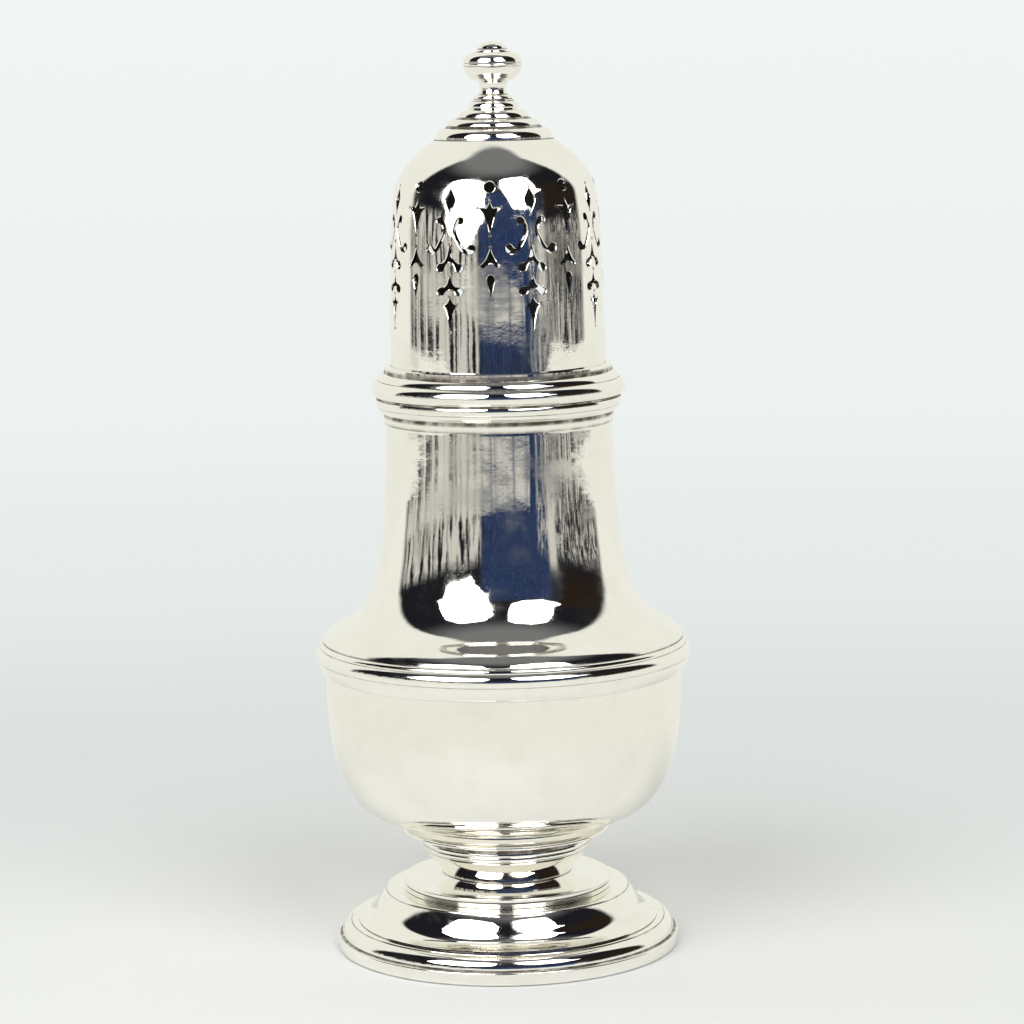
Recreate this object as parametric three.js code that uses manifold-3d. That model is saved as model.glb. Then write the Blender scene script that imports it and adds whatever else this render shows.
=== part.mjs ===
// A silver sugar caster: a footed baluster body with a push-fit pierced cover and a turned finial.
// Millimetres. +Z is up, and the origin is the centre of the foot, on the surface that it stands on.
import * as THREE from 'three';
import { mergeVertices } from 'three/addons/utils/BufferGeometryUtils.js';
import Module from 'manifold-3d';

// Facets of the turned pieces.
const turnSides = 32;         // a whole number to each column of the piercing
const finialSides = 20;
const bowSteps = 2;
const outsideShare = 1;
const insideShare = 0.5;      // the hidden side of a sheet has half the facets

// Gauges and fits.
const sheet = 0.8;            // spun foot, bowl and body
const coverSheet = 0.7;       // spun dome
const solder = 0.05;          // gap that the solder takes between two fixed pieces
const seatGap = 0.1;          // between the cover's rim and the mouth that it rests on
const slideFit = 0.1;         // play of the bezel in the neck, measured on the radius
const pegFit = 0.1;           // play of a peg in its hole, measured on the radius
const boreStep = 0.1;         // how far the plates under the stem stand back from its bore

// Mouldings are read from the bottom up. Each member is [step outwards, step upwards, bow]: the bow is the
// arc's rise over its half chord, so 0.41 is a quarter round, 1 a half round and a minus sign a hollow.
// A long curve has its step and two handles, or, where its run follows from other pieces, how far it goes up
// and two handles whose parts across are shares of that run.
const footRim = {
  bottomRadius: 36.1,
  bedWidth: 2.7,              // flat that it stands on
  ringWidth: 5.2,
  bedHeight: 1.2,
  hollowHeight: 3.8,
  members: [[0.1, 0.25], [0, 2.05], [-0.25, 0.3, 0.41], [-0.65, 0.3], [-2.0, 2.5, 0.36], [-0.1, 0.2]],
};
const footDome = {
  seatWidth: 0.85,            // how far it laps over the rim's flat top
  edgeHeight: 0.3,
  flare: { step: [-3.75, 2.7], handles: [-2.0, 0.35, -3.2, 1.35], steps: 4 },
  wall: { step: [-2.3, 3.3], handles: [-0.4, 1.0, -1.45, 2.5], steps: 3 },
  brow: [[-0.5, 0.35, 0.4]],
};
const footReed = {
  setBack: 3.3,               // how far it stands in from the brow of the dome
  members: [[0, 0.45, 0.8], [0, 0.45, 0.8]],
};
const footKnop = {
  setBack: 0.2,               // how far its lower edge stands in from the reed
  members: [[0.3, 0.3], [0, 0.5], [-0.2, 0.2, 0.41]],
  dish: { up: 1.15, handles: [0.29, -0.65, 0.82, -0.4], steps: 4 },
};
const footStem = {
  lowerRadius: 13.9,
  flare: { step: [3.45, 5.4], handles: [0.6, 2.8, 3.1, 3.4], steps: 4 },
  members: [[0.45, 0.1], [0.1, 0.95, 0.3], [0, 0.95, 0.3]],
};
const footCollar = {
  overhang: 0.1,              // how far its lower edge stands out from the stem
  ledgeWidth: 1.55,           // how far its bore stands in from the stem's
  members: [[0, 0.25], [1.7, 0.7], [2.1, 0.7], [-0.1, 0.7, 0.4], [-1.5, 1.25, -0.3], [-0.1, 0.5]],
};
const lowerBowl = {
  rimRadius: 37.4,
  baseSetBack: 0.1,           // how far its base stands in from the collar's top edge
  bellyShare: 0.773,          // of the way out from the base to the rim
  belly: { up: 7.4, handles: [0.342, 0.9, 0.699, 0.5], steps: 4 },
  side: { up: 24.3, handles: [0.975, 7.6, 1, 16.1], steps: 3 },
  lapHeight: 7.0,             // upright edge that the girdle is soldered round
};
const girdle = {
  proud: 0.15,                // how far its lower edge stands out from its bore
  members: [[1.5, 3.1, 0.2], [-0.5, 2.65, 0.4], [-0.5, 1.1, 0.4]],
};
const upperBody = {
  overhang: 0.6,              // how far its lower edge stands out from the bowl's rim
  neckRadius: 23.6,
  shoulderShare: 0.382,       // of the way in from the shoulder's edge to the neck
  waistShare: 0.389,
  shoulder: { up: 4.2, handles: [0.218, 2.4, 0.682, 2.95], steps: 3 },
  waist: { up: 7.5, handles: [0.357, 1.35, 0.768, 3.8], steps: 3 },
  neck: { up: 33.7, handles: [0.788, 9.6, 0.879, 23.6], steps: 4 },
  lipHeight: 5.4,             // upright stretch that the mouth moulding is soldered round
};
const mouthMoulding = {
  proud: 0.2,                 // how far its lower edge stands out from the neck
  members: [[0.15, 1.0], [0, 1.0], [0.2, 0.2], [1.1, 1.4, 0.2], [0.1, 0.1], [0.2, 1.5, 0.25]],
};
const cover = {
  inset: 1.2,                 // how far the dome stands in from the neck
  skirtHeight: 5.4,           // upright edge of the dome, inside the rim moulding
  skirtLift: 1.8,             // the skirt's lower edge above the bottom of the rim moulding
  seatMargin: 0.4,            // how far its crown runs out past the finial's base
  side: { step: [-0.55, 25.0], handles: [-0.04, 8.2, -0.21, 16.8], steps: 1 },
  haunch: { step: [-1.15, 11.4], handles: [-0.19, 4.3, -0.48, 8.2], steps: 2 },
  crown: { up: 9.6, handles: [0.0976, 3.4, 0.5366, 6.9], steps: 4 },  
};
const coverRim = {
  overhang: 0.1,              // how far its lower edge stands in from the mouth moulding's top edge
  members: [[0.1, 0.35], [-0.4, 3.45, 0.66], [-1.2, 1.5, 0.3], [-0.2, 0.1], [-0.05, 1.2], [-0.15, 0.2]],
};
const bezel = {
  depth: 9.3,                 // how far it reaches down into the neck
  joggleHeight: 0.8,
  lapHeight: 4.6,             // how far it reaches up inside the dome's skirt
};
const finialBase = {
  topSetBack: 0.55,           // how far the stem's lower edge stands in from its top
  lipWidth: 0.8,              // flat that it stands on
  recessTopWidth: 1.3,
  recessStep: 0.5,
  plateHeight: 1.15,          // what is left above the recess
  members: [[0, 0.5], [-2.0, 1.85, 0.4], [-0.5, 0.45], [-1.7, 1.35, 0.4], [-0.6, 0.35], [-1.65, 1.55, 0.4]],
};
const finialStem = {
  bottomRadius: 5.1,
  pegRadius: 2.0,
  pegReach: 0.75,             // how far the peg is proud inside the dome
  tenonRadius: 1.2,
  tenonLength: 2.9,
  members: [
    [0.1, 0.3], [-0.9, 1.4, 0.45], [-0.2, 0.25], [-0.15, 0.2], [-0.6, 0.75, 0.45], [-0.5, 0.25],
    [0, 2.0, -0.15], [0.5, 0.7, -0.3],
  ],
};
const finialKnob = {
  socketGap: 0.2,             // room past the tenon's end
  members: [
    [1.65, 0.85, 0.3], [0.95, 2.1, 0.2], [0.02, 0.6, 0.7], [-0.87, 1.8, 0.3], [-0.7, 0.4], [-0.9, 0.05],
    [-0.4, 0.55, 0.4], [-0.2, 0.25], [-1.4, 1.17, 0.25], [-1.5, 0.28, 0.1],
  ],
};

// Piercing of the dome: eight repeats of two columns of openings, an eighth of a turn apart. Heights are
// above the dome's upright skirt, and offsets run round the widest wall from the column's own line.
const piercing = {
  repeats: 8,
  firstTurn: -3 * Math.PI / 180,
  reachOut: 3,
  plain: {
    round: { height: 37.1, radius: 1.2, sides: 6 },
    openings: [
      [[0, 34.2], [0.75, 32.8], [2.25, 32.9], [1.0, 31.5], [0, 27.3]],
      [[0, 24.9], [0.6, 23.2], [2.05, 21.2], [1.4, 20.9], [0, 22]],
      [[0, 19.55], [0.75, 18.8], [0.6, 17], [0, 15]],
    ],
  },
  scrolled: {
    openings: [
      [[0, 37], [1.15, 34.5], [0.75, 33], [0, 31.8]],
      [[0, 25.3], [0.6, 22.8], [2.2, 21.9], [3.0, 21], [2.2, 20.2], [0, 22.1]],
      [[0, 19.2], [0.6, 17.4], [2.1, 16.9], [2.85, 16.1], [2.1, 15.4], [0, 16.7]],
      [[0, 14.8], [0.5, 13.8], [1.5, 13.4], [0.7, 11.6], [0, 8.2]],
    ],
    scroll: [
      [2.7, 31.1], [1.4, 30.8], [0.85, 29], [1.0, 27.2], [2.6, 24.6], [3.8, 23.8], [5.4, 24.2],
      [5.2, 25.6], [3.8, 24.8], [1.6, 27.6], [1.6, 29.2], [3.0, 30.1],
    ],
  },
};

const totalOf = (members) => members.reduce((sum, [, up]) => sum + up, 0);
const outerOf = (radius, members) => members.reduce((sum, [out]) => sum + out, radius);
const curveTop = (...curves) => curves.reduce((sum, { step }) => sum + step[1], 0);
const curveOuter = (radius, ...curves) => curves.reduce((sum, { step }) => sum + step[0], radius);

// A curve that spans a given run outwards, from one whose handles across are shares of that run.
const spanning = (run, { up, handles: [shareA, upA, shareB, upB], steps }) => ({
  step: [run, up],
  handles: [shareA * run, upA, shareB * run, upB],
  steps,
});

// Radii of the foot, from the rim inwards and up.
const footRimBore = footRim.bottomRadius - footRim.ringWidth;
const footDomeRadius = footRimBore + footDome.seatWidth;
const footBrowRadius = curveOuter(outerOf(footDomeRadius, footDome.brow), footDome.flare, footDome.wall);
const footReedRadius = footBrowRadius - footReed.setBack;
const footKnopRadius = footReedRadius - footKnop.setBack;
const footKnopTopRadius = outerOf(footKnopRadius, footKnop.members);
const dish = spanning(footStem.lowerRadius - footKnopTopRadius, footKnop.dish);
const footKnopBore = footStem.lowerRadius - sheet;
const footPlateBore = footKnopBore + boreStep;
const footStemWaist = curveOuter(footStem.lowerRadius, footStem.flare);
const footCollarRadius = outerOf(footStemWaist, footStem.members) + footCollar.overhang;
const footCollarBore = footStemWaist - footCollar.ledgeWidth - sheet;

// Radii of the body.
const bowlBaseRadius = outerOf(footCollarRadius, footCollar.members) - lowerBowl.baseSetBack;
const bowlRun = lowerBowl.rimRadius - bowlBaseRadius;
const belly = spanning(bowlRun * lowerBowl.bellyShare, lowerBowl.belly);
const bowlSide = spanning(bowlRun * (1 - lowerBowl.bellyShare), lowerBowl.side);
const girdleBore = lowerBowl.rimRadius + solder;
const shoulderRadius = lowerBowl.rimRadius + upperBody.overhang;
const neckRun = upperBody.neckRadius - shoulderRadius;
const shoulder = spanning(neckRun * upperBody.shoulderShare, upperBody.shoulder);
const waist = spanning(neckRun * upperBody.waistShare, upperBody.waist);
const neck = spanning(neckRun * (1 - upperBody.shoulderShare - upperBody.waistShare), upperBody.neck);
const mouthBore = upperBody.neckRadius + solder;
const mouthRadius = outerOf(mouthBore + mouthMoulding.proud, mouthMoulding.members);

// Radii of the cover and the finial, which sizes the crown.
const domeRadius = upperBody.neckRadius - cover.inset;
const bezelRadius = upperBody.neckRadius - sheet - slideFit;
const finialBaseRadius = finialStem.bottomRadius + finialBase.topSetBack - outerOf(0, finialBase.members);
const crownRadius = finialBaseRadius + cover.seatMargin;
const crown = spanning(crownRadius - curveOuter(domeRadius, cover.side, cover.haunch), cover.crown);
const pegHole = finialStem.pegRadius + pegFit;
const knobRadius = outerOf(finialStem.bottomRadius, finialStem.members);

// Heights of the stacked pieces.
const footRimTop = totalOf(footRim.members);
const footDomeBase = footRimTop + solder;
const footDomeHeight = footDome.edgeHeight + curveTop(footDome.flare, footDome.wall) + totalOf(footDome.brow);
const footReedBase = footDomeBase + footDomeHeight + solder;
const footKnopBase = footReedBase + totalOf(footReed.members) + solder;
const footStemBase = footKnopBase + totalOf(footKnop.members) + curveTop(dish) + solder;
const footCollarBase = footStemBase + curveTop(footStem.flare) + totalOf(footStem.members) + solder;
const lowerBowlBase = footCollarBase + totalOf(footCollar.members) + solder;
const bowlHeight = curveTop(belly, bowlSide) + lowerBowl.lapHeight;
const upperBodyBase = lowerBowlBase + bowlHeight + solder;
const girdleBase = lowerBowlBase + bowlHeight - totalOf(girdle.members);
const neckTop = upperBodyBase + curveTop(shoulder, waist, neck);
const mouthHeight = neckTop + upperBody.lipHeight;
const mouthMouldingBase = mouthHeight - totalOf(mouthMoulding.members);
const coverBase = mouthHeight + seatGap;
const domeBase = coverBase + cover.skirtLift;
const crownHeight = domeBase + cover.skirtHeight + curveTop(cover.side, cover.haunch, crown);
const finialBaseHeight = crownHeight + solder;
const finialBaseTop = totalOf(finialBase.members);
const finialStemHeight = finialBaseHeight + finialBaseTop + solder;
const finialKnobHeight = finialStemHeight + totalOf(finialStem.members) + solder;

const metal = { color: 0xd8d5cc, metalness: 1, roughness: 0.18 };

const point = (radius, height) => new THREE.Vector2(radius, height);

// An arc from a to b that bows away from the axis, as [bow] above says.
function bowed(a, b, bow, steps = bowSteps) {
  const halfChord = a.distanceTo(b) / 2;
  const rise = bow * halfChord;
  const arcRadius = (halfChord * halfChord + rise * rise) / (2 * rise);
  const across = point(b.y - a.y, a.x - b.x).normalize();
  const centre = a.clone().add(b).multiplyScalar(0.5).addScaledVector(across, rise - arcRadius);
  const from = Math.atan2(a.y - centre.y, a.x - centre.x);
  let sweep = Math.atan2(b.y - centre.y, b.x - centre.x) - from;
  if (bow > 0 && sweep < 0) sweep += 2 * Math.PI;
  if (bow < 0 && sweep > 0) sweep -= 2 * Math.PI;
  const points = [];
  for (let i = 1; i < steps; i += 1) {
    const angle = from + sweep * i / steps;
    points.push(point(Math.cos(angle), Math.sin(angle)).multiplyScalar(Math.abs(arcRadius)).add(centre));
  }
  points.push(b.clone());
  return points;
}

// The points of a moulding's members, starting from a.
function moulded(a, members, steps = bowSteps) {
  const points = [a.clone()];
  for (const [out, up, bow = 0] of members) {
    const last = points[points.length - 1];
    const next = point(last.x + out, last.y + up);
    points.push(...(bow === 0 ? [next] : bowed(last, next, bow, steps)));
  }
  return points;
}

// The points of one or more long curves, starting from a. Handles are measured from each curve's own start.
function swept(a, curves, share = outsideShare) {
  const points = [a.clone()];
  for (const { step, handles: [outA, upA, outB, upB], steps } of curves) {
    const start = points[points.length - 1];
    const curve = new THREE.CubicBezierCurve(
      start,
      point(start.x + outA, start.y + upA),
      point(start.x + outB, start.y + upB),
      point(start.x + step[0], start.y + step[1]),
    );
    points.push(...curve.getPoints(Math.round(steps * share)).slice(1));
  }
  return points;
}

// The same line moved inwards by a sheet's gauge, with mitred corners.
function inset(line, gauge) {
  const normals = line.slice(1).map((p, i) => point(line[i].y - p.y, p.x - line[i].x).normalize());
  return line.map((p, i) => {
    const before = normals[Math.max(i - 1, 0)];
    const after = normals[Math.min(i, normals.length - 1)];
    const mitre = before.clone().add(after).normalize();
    return p.clone().addScaledVector(mitre, gauge / mitre.dot(before));
  });
}

const silverMesh = (name, geometry, height) => {
  const mesh = new THREE.Mesh(geometry, new THREE.MeshStandardMaterial(metal));
  mesh.name = name;
  mesh.position.z = height;
  return mesh;
};

// A ring or a solid turned about +Z. The outline runs anticlockwise in radius and height.
function turnedGeometry(outline, sides = turnSides) {
  const closed = outline[0].x === 0 ? outline : [...outline, outline[0].clone()];
  const phase = piercing.firstTurn + Math.PI / sides;
  return new THREE.LatheGeometry(closed, sides, phase).rotateX(Math.PI / 2);
}
const turned = (name, outline, height, sides) => silverMesh(name, turnedGeometry(outline, sides), height);

function makeFootRim() {
  const outside = moulded(point(footRim.bottomRadius, 0), footRim.members);
  const inside = [
    point(footRimBore, footRimTop),
    point(footRimBore, footRim.hollowHeight),
    point(footRim.bottomRadius - footRim.bedWidth, footRim.bedHeight),
    point(footRim.bottomRadius - footRim.bedWidth, 0),
  ];
  return turned('foot_rim', [...outside, ...inside], 0);
}

function makeFootDome() {
  const edge = point(footDomeRadius, footDome.edgeHeight);
  const curves = [footDome.flare, footDome.wall];
  const outside = [point(footDomeRadius, 0), ...swept(edge, curves)];
  outside.push(...moulded(outside[outside.length - 1], footDome.brow).slice(1));
  const underside = footDomeHeight - sheet;
  const inside = inset(swept(edge, curves, insideShare), sheet).map(({ x, y }) => point(x, Math.max(y, 0)));
  inside[inside.length - 1].y = underside;
  const plate = [point(footPlateBore, footDomeHeight), point(footPlateBore, underside)];
  return turned('foot_dome', [...outside, ...plate, ...inside.reverse()], footDomeBase);
}

// A ring whose bore is plain, from the outline of its outside.
function turnedRing(name, outside, bore, height) {
  const top = outside[outside.length - 1].y;
  return turned(name, [...outside, point(bore, top), point(bore, 0)], height);
}

function makeFootReed() {
  const outside = moulded(point(footReedRadius, 0), footReed.members);
  return turnedRing('foot_reed', outside, footPlateBore, footReedBase);
}

function makeFootKnop() {
  const edge = moulded(point(footKnopRadius, 0), footKnop.members);
  const outside = [...edge, ...swept(edge[edge.length - 1], [dish]).slice(1)];
  return turnedRing('foot_knop', outside, footKnopBore, footKnopBase);
}

function makeFootStem() {
  const start = point(footStem.lowerRadius, 0);
  const flare = swept(start, [footStem.flare]);
  const outside = [...flare, ...moulded(flare[flare.length - 1], footStem.members).slice(1)];
  const inside = inset(swept(start, [footStem.flare], insideShare), sheet);
  inside[0].y = 0;
  const boreTop = point(inside[inside.length - 1].x, outside[outside.length - 1].y);
  return turned('foot_stem', [...outside, boreTop, ...inside.reverse()], footStemBase);
}

function makeFootCollar() {
  const outside = moulded(point(footCollarRadius, 0), footCollar.members);
  return turnedRing('foot_collar', outside, footCollarBore, footCollarBase);
}

function makeLowerBowl() {
  const start = point(bowlBaseRadius, 0);
  const rim = point(lowerBowl.rimRadius, bowlHeight);
  const outside = [point(0, 0), ...swept(start, [belly, bowlSide]), rim];
  const inside = inset([...swept(start, [belly, bowlSide], insideShare), rim], sheet);
  inside[0].y = sheet;
  inside[inside.length - 1].y = bowlHeight;
  return turned('lower_bowl', [...outside, ...inside.reverse(), point(0, sheet)], lowerBowlBase);
}

function makeGirdle() {
  const outside = moulded(point(girdleBore + girdle.proud, 0), girdle.members);
  return turnedRing('girdle_moulding', outside, girdleBore, girdleBase);
}

function makeUpperBody() {
  const start = point(shoulderRadius, 0);
  const curves = [shoulder, waist, neck];
  const lip = point(upperBody.neckRadius, mouthHeight - upperBodyBase);
  const outside = [...swept(start, curves), lip];
  const inside = inset([...swept(start, curves, insideShare), lip], sheet);
  inside[0].set(start.x - sheet * Math.SQRT2, 0);
  inside[inside.length - 1].y = lip.y;
  return turned('upper_body', [...outside, ...inside.reverse()], upperBodyBase);
}

function makeMouthMoulding() {
  const outside = moulded(point(mouthBore + mouthMoulding.proud, 0), mouthMoulding.members);
  return turnedRing('mouth_moulding', outside, mouthBore, mouthMouldingBase);
}

function makeCoverRim() {
  const outside = moulded(point(mouthRadius - coverRim.overhang, 0), coverRim.members);
  const top = totalOf(coverRim.members);
  const seat = domeRadius + solder;
  const clearance = bezelRadius + slideFit;
  const inside = [
    point(seat, top),
    point(seat, cover.skirtLift),
    point(clearance, cover.skirtLift),
    point(clearance, 0),
  ];
  return turned('cover_rim', [...outside, ...inside], coverBase);
}

function makeCoverBezel() {
  const lapRadius = domeRadius - coverSheet - solder;
  const joggleTop = bezel.depth + cover.skirtLift - solder - slideFit;
  const outside = [
    point(bezelRadius, 0),
    point(bezelRadius, joggleTop - bezel.joggleHeight),
    point(lapRadius, joggleTop),
    point(lapRadius, joggleTop + bezel.lapHeight),
  ];
  const inside = inset(outside, sheet).reverse();
  return turned('cover_bezel', [...outside, ...inside], coverBase - bezel.depth);
}

// A cutter that widens from the dome's axis to outside the wall, so that the opening's sides run radially.
function openingCutter(outline, turn) {
  const contour = outline.map(([across, height]) => point(across, height));
  if (THREE.ShapeUtils.isClockWise(contour)) contour.reverse();
  const middle = contour.reduce((sum, corner) => sum + corner.y, 0) / contour.length;
  const reach = (domeRadius + piercing.reachOut) / domeRadius;
  const corners = contour.map(({ x, y }) => [x * reach, -domeRadius * reach, middle + (y - middle) * reach]);
  const end = THREE.ShapeUtils.triangulateShape(contour, []).map((face) => face.map((i) => i + 1));
  const sides = corners.map((_, i) => [i + 1, 0, (i + 1) % corners.length + 1]);
  const cutter = new THREE.BufferGeometry();
  cutter.setAttribute('position', new THREE.Float32BufferAttribute([[0, 0, middle], ...corners].flat(), 3));
  cutter.setIndex([...end, ...sides].flat());
  return cutter.translate(0, 0, cover.skirtHeight).rotateZ(turn);
}

const mirroredHalf = (half) => [
  ...half,
  ...half.filter(([across]) => across > 0).reverse().map(([across, height]) => [-across, height]),
];

function roundOpening({ height, radius, sides }) {
  return Array.from({ length: sides }, (_, i) => {
    const angle = 2 * Math.PI * (i + 0.5) / sides;
    return [radius * Math.cos(angle), height + radius * Math.sin(angle)];
  });
}

function piercingCutters() {
  const { plain, scrolled, repeats, firstTurn } = piercing;
  const plainColumn = [roundOpening(plain.round), ...plain.openings.map(mirroredHalf)];
  const mirroredScroll = scrolled.scroll.map(([across, height]) => [-across, height]);
  const scrolledColumn = [...scrolled.openings.map(mirroredHalf), scrolled.scroll, mirroredScroll];
  const pitch = 2 * Math.PI / repeats;
  const cutters = [];
  for (let i = 0; i < repeats; i += 1) {
    const turn = firstTurn + i * pitch;
    cutters.push(...plainColumn.map((outline) => openingCutter(outline, turn)));
    cutters.push(...scrolledColumn.map((outline) => openingCutter(outline, turn + pitch / 2)));
  }
  return cutters;
}

const wasm = await Module();
wasm.setup();

function solidOf(geometry) {
  const bare = geometry.clone();
  bare.deleteAttribute('normal');
  bare.deleteAttribute('uv');
  const merged = mergeVertices(bare);
  return new wasm.Manifold(new wasm.Mesh({
    numProp: 3,
    vertProperties: new Float32Array(merged.attributes.position.array),
    triVerts: new Uint32Array(merged.index.array),
  }));
}

function geometryOf(solid) {
  const mesh = solid.getMesh();
  const geometry = new THREE.BufferGeometry();
  geometry.setAttribute('position', new THREE.BufferAttribute(mesh.vertProperties, 3));
  geometry.setIndex(new THREE.BufferAttribute(mesh.triVerts, 1));
  geometry.computeVertexNormals();
  return geometry;
}

function makeCoverDome() {
  const skirt = point(domeRadius, 0);
  const skirtTop = point(domeRadius, cover.skirtHeight);
  const curves = [cover.side, cover.haunch, crown];
  const outside = [skirt, ...swept(skirtTop, curves)];
  const top = outside[outside.length - 1].y;
  const inside = inset([skirt, ...swept(skirtTop, curves, insideShare)], coverSheet);
  inside[0].y = 0;
  inside[inside.length - 1].y = top - coverSheet;
  const plate = [point(pegHole, top), point(pegHole, top - coverSheet)];
  const wall = solidOf(turnedGeometry([...outside, ...plate, ...inside.reverse()]));
  const pierced = piercingCutters().reduce((solid, cutter) => solid.subtract(solidOf(cutter)), wall);
  return silverMesh('cover_dome', geometryOf(pierced), domeBase);
}

function makeFinialBase() {
  const outside = moulded(point(finialBaseRadius, 0), finialBase.members);
  const recessRadius = finialBaseRadius - finialBase.lipWidth;
  const recessTop = finialBaseTop - finialBase.plateHeight;
  const inside = [
    point(pegHole, finialBaseTop),
    point(pegHole, recessTop),
    point(pegHole + finialBase.recessTopWidth, recessTop),
    point(recessRadius, finialBase.recessStep),
    point(recessRadius, 0),
  ];
  return turned('finial_base', [...outside, ...inside], finialBaseHeight);
}

function makeFinialStem() {
  const { pegRadius, pegReach, tenonRadius, tenonLength, bottomRadius, members } = finialStem;
  const shaft = moulded(point(bottomRadius, 0), members);
  const top = totalOf(members);
  const pegLength = finialBaseTop + 2 * solder + coverSheet + pegReach;
  const peg = [point(0, -pegLength), point(pegRadius, -pegLength), point(pegRadius, 0)];
  const tenon = [point(tenonRadius, top), point(tenonRadius, top + tenonLength), point(0, top + tenonLength)];
  return turned('finial_stem', [...peg, ...shaft, ...tenon], finialStemHeight, finialSides);
}

function makeFinialKnob() {
  const socketRadius = finialStem.tenonRadius + pegFit;
  const socketDepth = finialStem.tenonLength + finialKnob.socketGap;
  const shaft = moulded(point(knobRadius, 0), finialKnob.members);
  shaft[shaft.length - 1].x = 0;
  const hole = [point(0, socketDepth), point(socketRadius, socketDepth), point(socketRadius, 0)];
  return turned('finial_knob', [...hole, ...shaft], finialKnobHeight, finialSides);
}

const caster = new THREE.Group();
caster.add(makeFootRim(), makeFootDome(), makeFootReed(), makeFootKnop(), makeFootStem(), makeFootCollar());
caster.add(makeLowerBowl(), makeGirdle(), makeUpperBody(), makeMouthMoulding());
caster.add(makeCoverBezel(), makeCoverRim(), makeCoverDome());
caster.add(makeFinialBase(), makeFinialStem(), makeFinialKnob());

export default caster;
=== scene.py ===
# Polished silver sugar caster: turned pieces, a pierced cover, and the light tent that it stands in.
import math

import bmesh
import bpy
from mathutils import Matrix, Vector
from mathutils.geometry import delaunay_2d_cdt, interpolate_bezier


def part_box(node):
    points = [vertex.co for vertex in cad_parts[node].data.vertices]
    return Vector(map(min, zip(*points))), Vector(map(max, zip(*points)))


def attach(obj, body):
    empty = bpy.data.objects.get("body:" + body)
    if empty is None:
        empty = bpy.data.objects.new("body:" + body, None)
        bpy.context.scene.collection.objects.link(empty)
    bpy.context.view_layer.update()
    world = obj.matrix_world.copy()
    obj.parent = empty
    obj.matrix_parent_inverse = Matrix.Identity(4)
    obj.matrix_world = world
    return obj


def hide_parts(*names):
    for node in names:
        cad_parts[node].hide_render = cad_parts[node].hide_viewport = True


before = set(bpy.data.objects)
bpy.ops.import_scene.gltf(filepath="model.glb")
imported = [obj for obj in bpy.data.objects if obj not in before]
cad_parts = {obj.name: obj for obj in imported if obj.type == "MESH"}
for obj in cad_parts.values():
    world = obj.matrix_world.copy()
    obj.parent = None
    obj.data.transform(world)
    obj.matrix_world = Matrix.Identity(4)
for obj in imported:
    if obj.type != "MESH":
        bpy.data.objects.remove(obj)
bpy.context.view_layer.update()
print("frame loaded:", len(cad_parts), "nodes")

mm = 0.001
scene = bpy.context.scene

# camera
view = {
    "distance": 0.7063,
    "height": 0.1942,
    "yaw": -0.193,      # degrees
    "pitch": -8.227,
    "roll": 1.02,
    "lens": 119.58,
    "sensor": 36.0,
    "clipStart": 0.01,
}
cameraData = bpy.data.cameras.new("camera")
cameraData.lens = view["lens"]
cameraData.sensor_width = view["sensor"]
cameraData.clip_start = view["clipStart"]
camera = bpy.data.objects.new("camera", cameraData)
scene.collection.objects.link(camera)
aim = Matrix.Rotation(math.radians(view["yaw"]), 4, "Z")
aim = aim @ Matrix.Rotation(math.radians(90 + view["pitch"]), 4, "X")
aim = aim @ Matrix.Rotation(math.radians(-view["roll"]), 4, "Z")
camera.matrix_world = Matrix.Translation((0, -view["distance"], view["height"])) @ aim
scene.camera = camera

# outlines of turned work, in mm: x is the radius and y the height above the piece's own base
fineness = {
    "arcStep": 0.14,
    "arcTurn": 12,          # degrees
    "curveStep": 0.5,
    "turn": 192,            # faces round the axis
    "smallTurn": 96,
    "crease": 26,           # degrees between faces where an edge turns sharp
    "fullCrease": 40,
    "sharpestMitre": 0.5,
    "weld": 1e-7,           # m
}
seamDirt = 0.6              # how dirty the lower edge is, where a piece is soldered to the one below
inwardFacing = -0.5         # a face whose normal leans this far towards the axis is an inside face


# the bow is the arc's rise over its half chord, and a minus sign makes a hollow
def arcTo(start, end, bow):
    angle = 4 * math.atan(bow)
    radius = (end - start).length / 2 / math.sin(angle / 2)
    reach = 4 / 3 * math.tan(angle / 4) * radius
    forward = (end - start).normalized()
    outward = Vector((forward.y, -forward.x))
    lean, rise = math.cos(angle / 2) * reach, math.sin(angle / 2) * reach
    handles = start + forward * lean + outward * rise, end - forward * lean + outward * rise
    count = math.ceil(abs(angle * radius) / fineness["arcStep"])
    count = max(count, math.ceil(abs(math.degrees(angle)) / fineness["arcTurn"]))
    return bezierTo(start, handles[0], handles[1], end, count)


def bezierTo(start, first, second, end, count):
    line = interpolate_bezier(start.to_3d(), first.to_3d(), second.to_3d(), end.to_3d(), count + 1)
    return [point.to_2d() for point in line[1:]]


# each member is (step outwards, step upwards, bow)
def mouldingLine(start, members):
    line = [Vector(start)]
    for out, up, *bow in members:
        end = line[-1] + Vector((out, up))
        line += arcTo(line[-1], end, bow[0]) if bow else [end]
    return line


# each curve is (step, first handle, second handle), all from where it starts
def sweptLine(start, curves):
    line = [Vector(start)]
    for step, first, second in curves:
        begin = line[-1]
        count = math.ceil(Vector(step).length / fineness["curveStep"])
        line += bezierTo(begin, begin + Vector(first), begin + Vector(second), begin + Vector(step), count)
    return line


# the same line, moved in by a depth
def insetLine(line, depth):
    moved = []
    for i, point in enumerate(line):
        before = (point - line[i - 1]).normalized() if i else (line[1] - point).normalized()
        after = (line[i + 1] - point).normalized() if i + 1 < len(line) else before
        mitre = (before + after).normalized()
        inward = Vector((-mitre.y, mitre.x))
        slant = max(inward.dot(Vector((-before.y, before.x))), fineness["sharpestMitre"])
        moved.append(point + inward * depth / slant)
    return moved


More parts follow.
